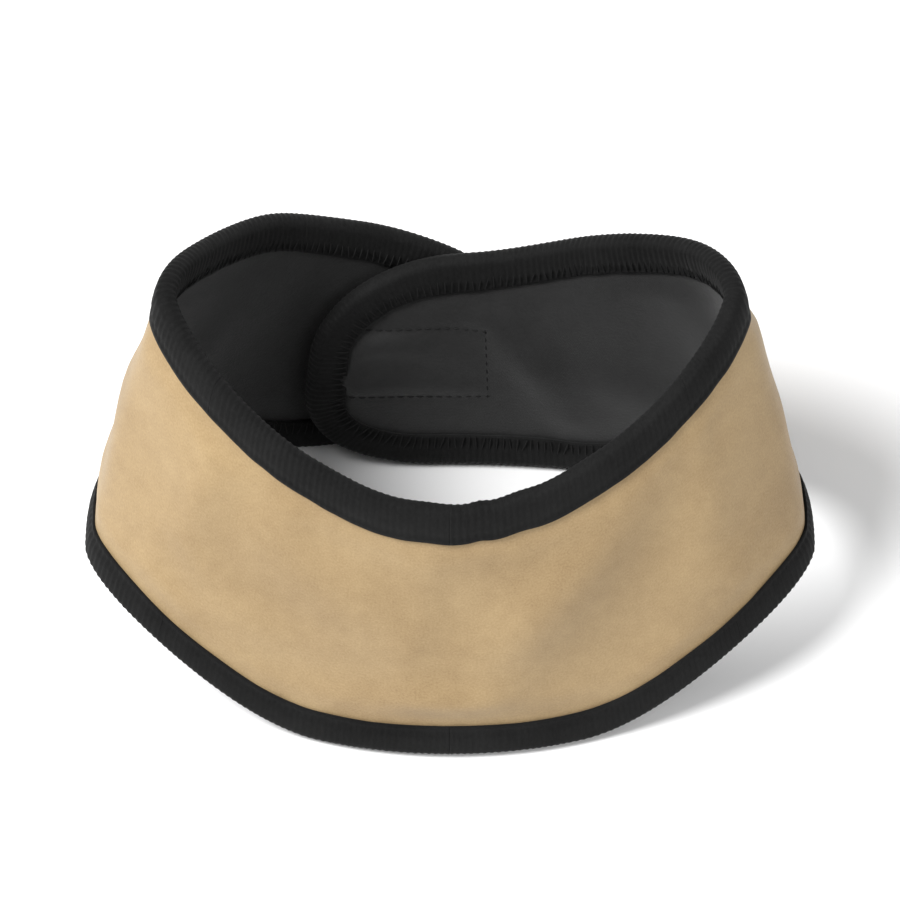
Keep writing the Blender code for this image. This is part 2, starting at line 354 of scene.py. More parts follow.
def travel_limits(span):
    """Points either side of a span's fold, clear of the rulings that it is cut at."""
    _, _, _, fold, near, far = span
    u = np.array([fold])
    middle, rise, out = (values[0] for values in wall_frames(u))
    travel = np.cross(rise, out) * (1.0 if far > near else -1.0)
    reach = []
    for cut in (near, far):
        low, high = wall_span(np.array([cut]), FABRIC_INSET)
        w = np.linspace(float(low[0]) - FABRIC_INSET, float(high[0]) + FABRIC_INSET, 9)
        n = np.array([-TAPE_OUTER, TAPE_OUTER])[:, None]
        offsets = (wall_points(cut, w[None, :], n) / MM - middle) @ travel
        reach.append(offsets.max() + PAD_MARGIN if cut == near else offsets.min() - PAD_MARGIN)
    half = min(-reach[0], reach[1])
    return (middle - travel * half) * MM, (middle + travel * half) * MM


def settle(piece, span, nodes=()):
    """Bakes a finished piece's place into its mesh and hides the frame's nodes that it stands for."""
    start, end = travel_limits(span)
    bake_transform(piece)
    if nodes:
        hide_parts(*nodes)


def nodes_of(span, layer):
    """The frame's nodes of one layer that a span's piece stands for."""
    names = [f"{body}_{layer}" for body in STANDS_FOR[span[0]]]
    return [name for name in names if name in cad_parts]


# ---- meshes ------------------------------------------------------------------------------------

def new_piece(name, points, faces, material, uvs=None, normals=None, flat_ends=0):
    """A smooth closed mesh in the scene, faces turned outwards. The last flat_ends faces stay flat."""
    mesh = bpy.data.meshes.new(name)
    mesh.from_pydata(points.reshape(-1, 3).tolist(), [], faces)
    mesh.update()
    if volume_sign(mesh) < 0:
        mesh.flip_normals()
    if uvs is not None:
        layer = mesh.uv_layers.new(name="surface")
        corners = np.empty(len(mesh.loops), dtype=np.int64)
        mesh.loops.foreach_get("vertex_index", corners)
        layer.data.foreach_set("uv", uvs.reshape(-1, 2)[corners].astype(np.float32).ravel())
    mesh.shade_smooth()
    for face in range(len(mesh.polygons) - flat_ends, len(mesh.polygons)):
        mesh.polygons[face].use_smooth = False
    if normals is not None:
        mesh.normals_split_custom_set_from_vertices(normals.reshape(-1, 3).tolist())
    mesh.materials.append(material)
    piece = bpy.data.objects.new(name, mesh)
    bpy.context.scene.collection.objects.link(piece)
    return piece


def volume_sign(mesh):
    """Positive for a closed mesh whose faces point outwards."""
    mesh.calc_loop_triangles()
    corners = np.empty(len(mesh.loop_triangles) * 3, dtype=np.int64)
    mesh.loop_triangles.foreach_get("vertices", corners)
    points = np.empty(len(mesh.vertices) * 3)
    mesh.vertices.foreach_get("co", points)
    a, b, c = points.reshape(-1, 3)[corners.reshape(-1, 3)].transpose(1, 0, 2)
    return float((a * np.cross(b, c)).sum())


def tube_faces(rows, ring):
    """Faces of rows of closed rings, and the caps that fold each end ring on itself."""
    faces = []
    for row in range(rows - 1):
        for index in range(ring):
            after = (index + 1) % ring
            a, b = row * ring + index, row * ring + after
            faces.append((a, b, b + ring, a + ring))
    for first in (0, (rows - 1) * ring):
        for index in range(ring // 2 - 1):
            facing = ring - 1 - index
            quad = (first + index, first + facing, first + facing - 1, first + index + 1)
            faces.append(quad if first == 0 else quad[::-1])
    return faces


def surface_normals(points):
    """Normals of a grid of points, from its rows and columns."""
    return unit(np.cross(np.gradient(points, axis=0), np.gradient(points, axis=1)))


def wave_noise(*coordinates, seed):
    """Smooth irregular waves between about -1 and 1, from a few seeded sines."""
    rng = np.random.default_rng(seed)
    count = 7
    total = 0.0
    for _ in range(count):
        phase = rng.uniform(0.0, 2 * math.pi)
        turns = sum(rng.uniform(0.4, 1.6) * rng.choice((-1, 1)) * c for c in coordinates)
        total = total + np.sin(turns + phase)
    return total / (count / 2)


# ---- fabric panels -----------------------------------------------------------------------------

def panel_stations():
    """u of every row of the panels: even between the cuts, and round the corners at the wing ends."""
    left_turn = LEFT_END + UPPER_CORNER[0] / HALF_LENGTH
    right_turn = RIGHT_END - UPPER_CORNER[0] / HALF_LENGTH
    angles = np.linspace(0.0, math.pi / 2, CORNER_STEPS)
    corner = (UPPER_CORNER[0] - (UPPER_CORNER[0] - FABRIC_INSET) * np.sin(angles)) / HALF_LENGTH
    rows = [(LEFT_END + corner)[::-1]]
    stops = [left_turn, -BACK_CUT, -NECK_CUT, -JAW_CUT, 0.0, JAW_CUT, NECK_CUT, right_turn]
    for start, end in zip(stops, stops[1:]):
        count = max(2, round((end - start) * HALF_LENGTH / PANEL_STEP))
        rows.append(np.linspace(start, end, count + 1)[1:])
    rows.append((RIGHT_END - corner)[1:])
    return np.unique(np.round(np.concatenate(rows), 9))


PANEL_U = panel_stations()


def panel_grid():
    """u and w over the whole wall, one row for each station."""
    low, high = wall_span(PANEL_U, FABRIC_INSET)
    shares = np.linspace(0.0, 1.0, PANEL_COLUMNS + 1)
    w = low[:, None] + (high - low)[:, None] * shares[None, :]
    return np.broadcast_to(PANEL_U[:, None], w.shape), w


def tape_distance(u, w):
    """How far inside the tape's free edge a place on the wall is, negative under the tape."""
    low, high = wall_span(u, TAPE_WIDTH)
    return np.minimum(w - low, high - w)


def simulate_cover(u, w):
    """Cloth laid over the padding and held under the tapes. Puts out how far it moves outwards."""
    rest = wall_points(u, w, FABRIC_OUTER)
    rows, columns = u.shape
    firsts = [row * columns + column for row in range(rows - 1) for column in range(columns - 1)]
    faces = [(a, a + columns, a + columns + 1, a + 1) for a in firsts]
    sheet = new_piece("cover_cloth", rest, faces, bpy.data.materials.new("cloth"))
    held = sheet.vertex_groups.new(name="held")
    inside = tape_distance(u, w).ravel()
    for index, distance in enumerate(inside):
        if distance < HELD_WITHIN:
            held.add([index], 1.0, "REPLACE")
    cloth = sheet.modifiers.new("cloth", "CLOTH").settings
    cloth.vertex_group_mass = "held"
    cloth.shrink_min = CLOTH_SHRINK
    cloth.tension_stiffness = cloth.compression_stiffness = CLOTH_STIFFNESS
    cloth.bending_stiffness = CLOTH_BENDING
    cloth.quality = 6
    cloth.effector_weights.gravity = CLOTH_GRAVITY
    cloth.use_pressure = True
    cloth.uniform_pressure_force = CLOTH_PRESSURE
    scene = bpy.context.scene
    for step in range(1, CLOTH_FRAMES + 1):
        scene.frame_set(step)
    evaluated = sheet.evaluated_get(bpy.context.evaluated_depsgraph_get())
    moved = np.empty(rows * columns * 3)
    evaluated.data.vertices.foreach_get("co", moved)
    _, _, out = wall_frames(u)
    shift = ((moved.reshape(rows, columns, 3) - rest) * out).sum(axis=-1) / MM
    bpy.data.objects.remove(sheet)
    scene.frame_set(1)
    shift = np.clip(shift, -CLOTH_LIMIT, CLOTH_LIMIT)
    for axis in (0, 1, 0, 1):
        places = np.arange(shift.shape[axis])
        before = np.take(shift, np.clip(places - 1, 0, None), axis)
        after = np.take(shift, np.clip(places + 1, None, len(places) - 1), axis)
        shift = (before + 2.0 * shift + after) / 4.0
    return shift * smooth(tape_distance(u, w), 0.0, SWELL_WIDTH)


def cloth_relief():
    """The cloth's outward movement on the panel grid, from a coarser grid that is simulated."""
    coarse_rows = round(len(PANEL_U) * PANEL_STEP / CLOTH_STEP)
    rows = np.linspace(0, len(PANEL_U) - 1, coarse_rows).round().astype(int)
    columns = np.linspace(0, PANEL_COLUMNS, PANEL_COLUMNS // 2 + 1).round().astype(int)
    u, w = panel_grid()
    coarse = simulate_cover(u[rows][:, columns], w[rows][:, columns])
    across = np.stack([np.interp(np.arange(PANEL_COLUMNS + 1), columns, line) for line in coarse])
    return np.stack([np.interp(np.arange(len(PANEL_U)), rows, line) for line in across.T], axis=1)


def box_distance(u, w, end):
    """Distance from the box of stitches that holds a patch, open towards the wing's end."""
    along = np.abs(end - u) * HALF_LENGTH
    near = PATCH_START - BOX_INSET
    half = PATCH_WIDTH / 2 - BOX_INSET
    side = np.abs(np.abs(w - PATCH_MIDDLE) - half) + np.maximum(along - near, 0.0)
    back = np.abs(along - near) + np.maximum(np.abs(w - PATCH_MIDDLE) - half, 0.0)
    return np.minimum(side, back)


def swelling(u, w, height):
    """The padding's rise from under the tapes to the middle of the panel."""
    return height * smooth(tape_distance(u, w), -1.0, SWELL_WIDTH)


def soft_waves(s, w, waves):
    """Soft irregular undulation. s is the place along the loop in millimetres."""
    return sum(height * wave_noise(s / along, w / up, seed=seed) for height, along, up, seed in waves)


def soft_folds(s, w, folds):
    """Long low folds, each slightly bowed."""
    total = np.zeros(np.shape(s))
    for along, up, degrees, length, width, height in folds:
        turn = math.radians(degrees)
        down_fold = (s - along) * math.cos(turn) + (w - up) * math.sin(turn)
        off_fold = (w - up) * math.cos(turn) - (s - along) * math.sin(turn)
        bowed = off_fold + 0.12 * down_fold**2 / length
        total = total + height * np.exp(-((down_fold / length) ** 2) - (bowed / width) ** 2)
    return total


def clear_of_patch(u, w, end):
    """0 where a wing's patch lies on the fabric, 1 away from it."""
    along = math.copysign(1.0, end) * (end - u) * HALF_LENGTH
    half = PATCH_WIDTH / 2 + PATCH_MARGIN
    inside = np.minimum(PATCH_START + PATCH_MARGIN - along, half - np.abs(w - PATCH_MIDDLE))
    return 1.0 - smooth(inside, -PATCH_FADE, 0.0)


def lap_room(u, side):
    """Holds the fabric flatter where the two wings lie on each other."""
    return 1.0 - LAP_PRESS * smooth(side * u, *LAP_PRESS_RANGE)


def cover_height(u, w, cloth=0.0):
    """Outside of the cover: padded between the tapes, uneven, pulled in by the patch's stitches."""
    s = u * HALF_LENGTH
    from_tape = tape_distance(u, w)
    soft = smooth(from_tape, 0.0, SWELL_WIDTH)
    drape = soft_waves(s, w, COVER_WAVES) + soft_folds(s, w, COVER_FOLDS)
    near_tape = 1.0 - smooth(from_tape, 0.0, PUCKER_WIDTH)
    pucker = PUCKER_HEIGHT * wave_noise(s / 2.2, w / 9.0, seed=8) * near_tape
    box = box_distance(u, w, LEFT_END)
    pull = 0.35 * np.exp(-((box / STITCH_PULL_WIDTH) ** 2)) * (u < -TAB_FOLD)
    relief = (swelling(u, w, COVER_SWELL) + soft * (drape + cloth) + pucker) * lap_room(u, 1.0)
    return FABRIC_OUTER + relief * clear_of_patch(u, w, RIGHT_END) - pull


def lining_height(u, w):
    """Inside of the lining, as a distance inwards."""
    s = u * HALF_LENGTH
    soft = smooth(tape_distance(u, w), 0.0, SWELL_WIDTH)
    drape = soft_waves(s, w, LINING_WAVES) + soft_folds(s, w, LINING_FOLDS)
    box = box_distance(u, w, RIGHT_END)
    pull = 0.40 * np.exp(-((box / STITCH_PULL_WIDTH) ** 2)) * (u > NECK_FOLD)
    relief = (swelling(u, w, LINING_SWELL) + soft * drape) * lap_room(u, -1.0)
    return FABRIC_OUTER + relief * clear_of_patch(u, w, LEFT_END) - pull


CAD_LAYERS = {"cover": "outer_cover", "foam": "foam_core", "lining": "lining"}


def add_panels(layer, material, outer, inner):
    """One piece of a layer for each span, as a closed sheet between two values of n."""
    u, w = panel_grid()
    faces_out = wall_points(u, w, outer)
    faces_in = wall_points(u, w, inner)
    sign = 1.0 if np.mean(outer - inner) > 0 else -1.0
    normals_out = surface_normals(faces_out) * sign
    uvs = np.stack([u * HALF_LENGTH / MAP_UNIT, w / MAP_UNIT], axis=-1)
    for span in SPANS:
        name, near, far = span[0], *sorted(span[4:6])
        rows = np.where((PANEL_U >= near - 1e-6) & (PANEL_U <= far + 1e-6))[0]
        points = np.concatenate([faces_out[rows], faces_in[rows][:, ::-1]], axis=1)
        normals = np.concatenate([normals_out[rows], -normals_out[rows][:, ::-1]], axis=1)
        both_uvs = np.concatenate([uvs[rows], uvs[rows][:, ::-1]], axis=1)
        faces = tube_faces(len(rows), points.shape[1])
        piece = new_piece(f"{layer}_{name}", points, faces, material, both_uvs, normals)
        settle(piece, span, nodes_of(span, CAD_LAYERS[layer]))


# ---- node groups -------------------------------------------------------------------------------

def node_group(kind, name, inputs, outputs):
    """A node tree with its named inputs and outputs, and the two nodes that stand for them."""
    tree = bpy.data.node_groups.new(name, kind)
    for label, socket_kind, value in inputs:
        socket = tree.interface.new_socket(label, in_out="INPUT", socket_type=f"NodeSocket{socket_kind}")
        if value is not None:
            socket.default_value = value
    for label, socket_kind in outputs:
        tree.interface.new_socket(label, in_out="OUTPUT", socket_type=f"NodeSocket{socket_kind}")
    return tree, tree.nodes.new("NodeGroupInput"), tree.nodes.new("NodeGroupOutput")


def geometry_group(name, inputs):
    """A geometry node group that takes a shape and these inputs, and puts out a shape."""
    shape = ("Geometry", "Geometry")
    return node_group("GeometryNodeTree", name, [(*shape, None), *inputs], [shape])


def named_attribute(tree, name, kind):
    """The socket of an attribute that the shape carries."""
    node = tree.nodes.new("GeometryNodeInputNamedAttribute")
    node.data_type = kind
    node.inputs["Name"].default_value = name
    return node.outputs["Attribute"]


def maths(tree, operation, first, second=None):
    """A math node on sockets or numbers. Puts out its result's socket."""
    node = tree.nodes.new("ShaderNodeMath")
    node.operation = operation
    for socket, value in zip(node.inputs, (first, second)):
        if isinstance(value, (int, float)):
            socket.default_value = value
        elif value is not None:
            tree.links.new(value, socket)
    return node.outputs[0]


def run_tree(piece, tree, **inputs):
    """Gives a piece the shape that a node tree makes of it with these inputs, as a plain mesh."""
    modifier = piece.modifiers.new("shape", "NODES")
    modifier.node_group = tree
    sockets = {s.name: s.identifier for s in tree.interface.items_tree if s.in_out == "INPUT"}
    for label, value in inputs.items():
        modifier[sockets[label]] = value
    evaluated = piece.evaluated_get(bpy.context.evaluated_depsgraph_get())
    mesh = bpy.data.meshes.new_from_object(evaluated)
    piece.modifiers.remove(modifier)
    piece.data = mesh
    mesh.name = piece.name


def store(mesh, name, values):
    """Keeps one number for each vertex as a named attribute."""
    layer = mesh.attributes.new(name, "FLOAT", "POINT")
    layer.data.foreach_set("value", values.astype(np.float32).ravel())


def vector(tree, x, z):
    """A vector in the XZ plane from sockets or numbers."""
    node = tree.nodes.new("ShaderNodeCombineXYZ")
    for socket, value in ((node.inputs["X"], x), (node.inputs["Z"], z)):
        if isinstance(value, float):
            socket.default_value = value
        else:
            tree.links.new(value, socket)
    return node.outputs[0]


# ---- binding tape ------------------------------------------------------------------------------

def corner_stations(end, corner, up):
    """Places and inward directions round one corner of a wing end, from its edge to its end."""
    along, across = corner
    side = math.copysign(1.0, end)
    count = round(math.pi / 2 * (along + across) / 2 / TAPE_STEP)
    angles = np.linspace(0.0, math.pi / 2, count + 1)
    u = end - side * along * (1.0 - np.sin(angles)) / HALF_LENGTH
    w = wall_edge(u, up) - up * across * (1.0 - np.cos(angles))
    inwards = -unit(np.stack([side * np.sin(angles) / along, up * np.cos(angles) / across], axis=-1))
    return np.column_stack([u, w, inwards])


def straight_stations(start, end, up):
    """Places and inward directions along the top (up = 1) or bottom (up = -1) edge."""
    count = max(2, round(abs(end - start) * HALF_LENGTH / TAPE_STEP))
    u = np.linspace(start, end, count + 1)
    inwards = np.broadcast_to([0.0, -float(up)], (count + 1, 2))
    return np.column_stack([u, wall_edge(u, up), inwards])


def round_the_end(cut, end):
    """Stations from a cut along the bottom edge, round the wing's end and back along the top edge."""
    side = math.copysign(1.0, end)
    halves = []
    for corner, up in ((LOWER_CORNER, -1), (UPPER_CORNER, 1)):
        turn = end - side * corner[0] / HALF_LENGTH
        straight = straight_stations(cut, turn, up)[:-1]
        halves.append(np.concatenate([straight, corner_stations(end, corner, up)]))
    lower, upper = halves
    steps = max(2, round(abs(upper[-1, 1] - lower[-1, 1]) / TAPE_STEP))
    shares = np.linspace(0.0, 1.0, steps + 1)[1:-1, None]
    flat = lower[-1] + (upper[-1] - lower[-1]) * shares
    return np.concatenate([lower, flat, upper[::-1]])


def tape_flat(along, side):
    """One face of the folded tape, from its free edge to the fold, as (inwards, n) pairs."""
    wobble = TAPE_WOBBLE * wave_noise(along / 7.0, seed=31)
    gather = OUTER_GATHER if side > 0 else INNER_GATHER
    flat = []
    for inwards in np.linspace(TAPE_WIDTH, FOLD_DEPTH, 9):
        share = (inwards - FOLD_DEPTH) / (TAPE_WIDTH - FOLD_DEPTH)
        puff = TAPE_PUFF * math.sin(math.pi * min(share / 0.8, 1.0))
        groove = SEAM_DEPTH * math.exp(-(((inwards - SEAM_INWARDS) / SEAM_WIDTH) ** 2))
        lift = gather * share * wave_noise(along / 1.6, seed=37 + int(side)) * 0.5
        flat.append((inwards + wobble * share, side * (TAPE_OUTER - 0.15 * share + puff - groove + lift)))
    return flat


def tape_profile(along):
    """Section of the folded tape at each place along it, as (inwards, n), outside then inside."""
    angles = np.linspace(math.pi / 2, -math.pi / 2, FOLD_STEPS + 1)[1:-1]
    fold = [(np.full_like(along, FOLD_DEPTH * (1.0 - math.cos(a))), TAPE_OUTER * math.sin(a)) for a in angles]
    outside = tape_flat(along, 1.0) + fold + tape_flat(along, -1.0)[::-1]
    inside = []
    for inwards, n in outside:
        deeper = np.maximum(inwards, FOLD_CLEARANCE) + 0.1
        in_fold = np.abs(n) < TAPE_OUTER - 0.8
        inside.append((np.where(in_fold, deeper, inwards), np.clip(n, -1.0, 1.0) * TAPE_HOLLOW))
    return outside + inside[::-1]


def tape_points(stations, along):
    """Points of the tape's section round each station, none below the ground.

    Only a run along the top edge has every station facing straight down, and it takes the bumps.
    """
    u, w, inward_u, inward_w = stations.T
    if np.all(inward_w == -1.0):
        for place, length, height in TOP_BUMPS:
            w = w + height * np.exp(-(((u * HALF_LENGTH - place) / length) ** 2))
    columns = []
    for inwards, n in tape_profile(along):
        columns.append(wall_points(u + inwards * inward_u / HALF_LENGTH, w + inwards * inward_w, n))
    points = np.stack(columns, axis=1)
    points[..., 2] = np.maximum(points[..., 2], 0.0)
    return points


def tape_ribs_tree():
    """Geometry nodes that raise fine cross ribs along a tape, from its own length attribute."""
    sizes = [("Pitch", "Float", RIB_PITCH), ("Height", "Float", RIB_HEIGHT)]
    tree, entry, leave = geometry_group("tape_ribs", sizes)
    nodes, link = tree.nodes, tree.links.new
    turns = maths(tree, "DIVIDE", named_attribute(tree, "along", "FLOAT"), entry.outputs["Pitch"])
    wave = maths(tree, "SINE", maths(tree, "MULTIPLY", turns, 2 * math.pi))
    strength = maths(tree, "MULTIPLY", wave, named_attribute(tree, "ribbed", "FLOAT"))
    height = maths(tree, "MULTIPLY", strength, entry.outputs["Height"])
    normal, scale = nodes.new("GeometryNodeInputNormal"), nodes.new("ShaderNodeVectorMath")
    scale.operation = "SCALE"
    link(normal.outputs["Normal"], scale.inputs[0])
    link(maths(tree, "MULTIPLY", height, MM), scale.inputs["Scale"])
    move = nodes.new("GeometryNodeSetPosition")
    link(entry.outputs["Geometry"], move.inputs["Geometry"])
    link(scale.outputs["Vector"], move.inputs["Offset"])
    link(move.outputs["Geometry"], leave.inputs["Geometry"])
    return tree


def add_tape(name, stations, first_length, span, material, tree, nodes):
    """One run of tape. first_length is how much tape comes before it, and its end's length is put out."""
    points = wall_points(stations[:, 0], stations[:, 1], 0.0)
    steps = np.linalg.norm(np.diff(points, axis=0), axis=1) / MM
    along = first_length + np.concatenate([[0.0], np.cumsum(steps)])
    rings = tape_points(stations, along)
    ring = rings.shape[1]
    faces = tube_faces(len(stations), ring)
    across = np.linspace(0.0, 2.0, ring)
    uvs = np.stack(np.broadcast_arrays(along[:, None] / MAP_UNIT, across[None, :]), axis=-1)
    piece = new_piece(name, rings, faces, material, uvs, flat_ends=2 * (ring // 2 - 1))
    jitter = 0.35 * wave_noise(along / 5.0, seed=41)
    ribbed = np.zeros(ring)
    ribbed[1:ring // 2 - 1] = 1.0
    strength = 1.0 + 0.35 * wave_noise(along / 11.0, seed=43)
    ground = smooth(rings[..., 2] / MM, 0.05, 0.8)
    store(piece.data, "along", np.broadcast_to((along + jitter)[:, None], rings.shape[:2]))
    store(piece.data, "ribbed", strength[:, None] * ribbed[None, :] * ground)
    run_tree(piece, tree, Pitch=RIB_PITCH, Height=RIB_HEIGHT)
    settle(piece, span, nodes)
    return along[-1]


def add_binding(material):
    """Both halves of the tape, each from the front along the bottom, round the wing and back on top."""
    tree = tape_ribs_tree()
    for side in ("right", "left"):
        length = 0.0
        spans = [span for span in SPANS if span[0].startswith(side)]
        for span in spans[:-1]:
            stations = straight_stations(span[4], span[5], -1)
            nodes = nodes_of(span, "bottom_binding")
            length = add_tape(f"lower_tape_{span[0]}", stations, length, span, material, tree, nodes)
        wing = spans[-1]
        stations = round_the_end(wing[4], wing[5])
        nodes = nodes_of(wing, "binding")
        length = add_tape(f"end_tape_{wing[0]}", stations, length, wing, material, tree, nodes)
        for span in spans[-2::-1]:
            stations = straight_stations(span[5], span[4], 1)
            nodes = nodes_of(span, "top_binding")
            length = add_tape(f"upper_tape_{span[0]}", stations, length, span, material, tree, nodes)


# ---- stitches and pile -------------------------------------------------------------------------

def thread_tree():
    """Geometry nodes that lay one arched thread at even steps along a guide line."""
    tree, entry, leave = geometry_group("thread_stitches", [
        ("Pitch", "Float", 2.0 * MM), ("Length", "Float", 1.5 * MM), ("Radius", "Float", 0.2 * MM),
        ("Rise", "Float", 0.3 * MM), ("Thread", "Material", None)])
    nodes, link = tree.nodes, tree.links.new
    line, resample = nodes.new("GeometryNodeMeshToCurve"), nodes.new("GeometryNodeResampleCurve")
    resample.mode = "LENGTH"
    link(entry.outputs["Geometry"], line.inputs["Mesh"])
    link(line.outputs["Curve"], resample.inputs["Curve"])
    link(entry.outputs["Pitch"], resample.inputs["Length"])
    lying = named_attribute(tree, "lying", "FLOAT_VECTOR")
    place_threads(tree, entry, leave, resample.outputs["Curve"], lying)
    return tree


def pile_tree():
    """Geometry nodes that stand one arched strand on each point of a surface, turned at random."""
    tree, entry, leave = geometry_group("patch_pile", [
        ("Length", "Float", 1.0 * MM), ("Radius", "Float", 0.1 * MM), ("Rise", "Float", 1.0 * MM),
        ("Seed", "Int", 3), ("Thread", "Material", None)])
    points = tree.nodes.new("GeometryNodeMeshToPoints")
    tree.links.new(entry.outputs["Geometry"], points.inputs["Mesh"])
    sway = tree.nodes.new("FunctionNodeRandomValue")
    sway.data_type = "FLOAT_VECTOR"
    sway.inputs["Min"].default_value = (-1.0, -1.0, -1.0)
    tree.links.new(entry.outputs["Seed"], sway.inputs["Seed"])
    place_threads(tree, entry, leave, points.outputs["Points"], sway.outputs["Value"])
    return tree


def place_threads(tree, entry, leave, points, lying):
    """Puts out one thread on each point, its arch facing off the surface, as real painted geometry."""
    nodes, link = tree.nodes, tree.links.new
    turn, place = nodes.new("FunctionNodeAxesToRotation"), nodes.new("GeometryNodeInstanceOnPoints")
    turn.primary_axis, turn.secondary_axis = "Z", "X"
    link(named_attribute(tree, "facing", "FLOAT_VECTOR"), turn.inputs["Primary Axis"])
    link(lying, turn.inputs["Secondary Axis"])
    link(points, place.inputs["Points"])
    link(stitch_shape(tree, entry), place.inputs["Instance"])
    link(turn.outputs["Rotation"], place.inputs["Rotation"])
    real, shade = nodes.new("GeometryNodeRealizeInstances"), nodes.new("GeometryNodeSetShadeSmooth")
    paint = nodes.new("GeometryNodeSetMaterial")
    link(place.outputs["Instances"], real.inputs["Geometry"])
    link(real.outputs["Geometry"], shade.inputs["Geometry"])
    link(shade.outputs["Geometry"], paint.inputs["Geometry"])
    link(entry.outputs["Thread"], paint.inputs["Material"])
    link(paint.outputs["Geometry"], leave.inputs["Geometry"])


def stitch_shape(tree, entry):
    """An arched length of thread along X, its ends dipping into the cloth."""
    nodes, link = tree.nodes, tree.links.new
    arch, wire, ring = (nodes.new(kind) for kind in (
        "GeometryNodeCurveQuadraticBezier", "GeometryNodeCurveToMesh", "GeometryNodeCurvePrimitiveCircle"))
    arch.inputs["Resolution"].default_value = 5
    ring.inputs["Resolution"].default_value = 6
    link(entry.outputs["Radius"], ring.inputs["Radius"])
    half = maths(tree, "MULTIPLY", entry.outputs["Length"], 0.5)
    dip = maths(tree, "MULTIPLY", entry.outputs["Radius"], -1.2)
    for label, x, z in (("Start", maths(tree, "MULTIPLY", half, -1.0), dip), ("End", half, dip)):
        link(vector(tree, x, z), arch.inputs[label])
    link(vector(tree, 0.0, entry.outputs["Rise"]), arch.inputs["Middle"])
    link(arch.outputs["Curve"], wire.inputs["Curve"])
    link(ring.outputs["Curve"], wire.inputs["Profile Curve"])
    wire.inputs["Fill Caps"].default_value = True
    return wire.outputs["Mesh"]


def guide_line(name, points, facing, lying):
    """A mesh line with the directions that its stitches face and lie in."""
    mesh = bpy.data.meshes.new(name)
    mesh.from_pydata(points.tolist(), [(i, i + 1) for i in range(len(points) - 1)], [])
    for label, values in (("facing", facing), ("lying", lying)):
        layer = mesh.attributes.new(label, "FLOAT_VECTOR", "POINT")
        layer.data.foreach_set("vector", values.astype(np.float32).ravel())
    piece = bpy.data.objects.new(name, mesh)
    bpy.context.scene.collection.objects.link(piece)
    return piece


def stitch_line(name, u, w, n, lying, material, tree, sizes):
    """Stitches along a line on the wall. lying is (along, up) for each, and n's sign is their side."""
    _, rise, out = wall_frames(u)
    travel = np.cross(rise, out)
    directions = unit(travel * lying[..., :1] + rise * lying[..., 1:])
    piece = guide_line(name, wall_points(u, w, n), out * np.sign(n)[..., None], directions)
    lay_threads(piece, material, tree, sizes)
    return piece


def lay_threads(piece, material, tree, sizes):
    """Turns a guide line or a guide's points into threads of one material."""
    run_tree(piece, tree, Thread=material, **sizes)
    piece.data.materials.clear()
    piece.data.materials.append(material)


def edge_runs(span):
    """The stations along a span's two edges, or in one run round a wing's end."""
    near, far = span[4:6]
    if abs(far) > 1.0:
        return [round_the_end(near, far)]
    return [straight_stations(near, far, up) for up in (-1, 1)]


def add_overlock(material, tree):
    """The row of whipped stitches that shows on the tape's inner face."""
    sizes = {"Pitch": 1.8 * MM, "Length": 4.4 * MM, "Radius": 0.16 * MM, "Rise": 0.55 * MM}
    for span in SPANS:
        for index, stations in enumerate(edge_runs(span)):
            u, w, inward_u, inward_w = stations[2:-2].T
            places = (u + OVERLOCK_INWARDS * inward_u / HALF_LENGTH, w + OVERLOCK_INWARDS * inward_w)
            lengths = np.arange(len(u)) * TAPE_STEP
            sway = 0.1 + 0.28 * wave_noise(lengths / 1.1, seed=51 + index)[:, None]
            lying = np.column_stack([inward_u, inward_w]) + sway * np.column_stack([-inward_w, inward_u])
            n = np.full(len(u), -(TAPE_OUTER + 0.02))
            piece = stitch_line(f"overlock_{span[0]}_{index}", *places, n, lying, material, tree, sizes)
            settle(piece, span)


def box_path(end):
    """The three sides of a patch's box of stitches, as u, w and the direction of each stitch."""
    side = math.copysign(1.0, end)
    near = end - side * (PATCH_START - BOX_INSET) / HALF_LENGTH
    half = PATCH_WIDTH / 2 - BOX_INSET
    sides = []
    for up in (-1.0, 1.0):
        far = patch_limit(end, PATCH_MIDDLE + up * half, side)
        u = np.linspace(near, far, 60)
        sides.append((u, np.full_like(u, PATCH_MIDDLE + up * half), (1.0, 0.0)))
    w = np.linspace(PATCH_MIDDLE - half, PATCH_MIDDLE + half, 40)
    sides.append((np.full_like(w, near), w, (0.0, 1.0)))
    return sides


def patch_limit(end, w, side):
    """The u where a line along the wing at height w runs under the tape."""
    u = end - side * np.linspace(60.0, TAPE_WIDTH, 400) / HALF_LENGTH
    low, high = wall_span(u, TAPE_WIDTH - 0.6)
    inside = (w > low) & (w < high)
    return float(u[inside][-1])


def add_box_stitches(wing, face, height, material, tree):
    """Dashed stitches round a patch, on the cover (face = 1) or the lining (face = -1)."""
    sizes = {"Pitch": 2.5 * MM, "Length": 1.9 * MM, "Radius": 0.20 * MM, "Rise": 0.40 * MM}
    for index, (u, w, direction) in enumerate(box_path(wing[5])):
        n = face * (height(u, w) + STITCH_LIFT)
        lying = np.broadcast_to(np.array(direction), (len(u), 2))
        piece = stitch_line(f"patch_stitches_{wing[0]}_{index}", u, w, n, lying, material, tree, sizes)
        settle(piece, wing)


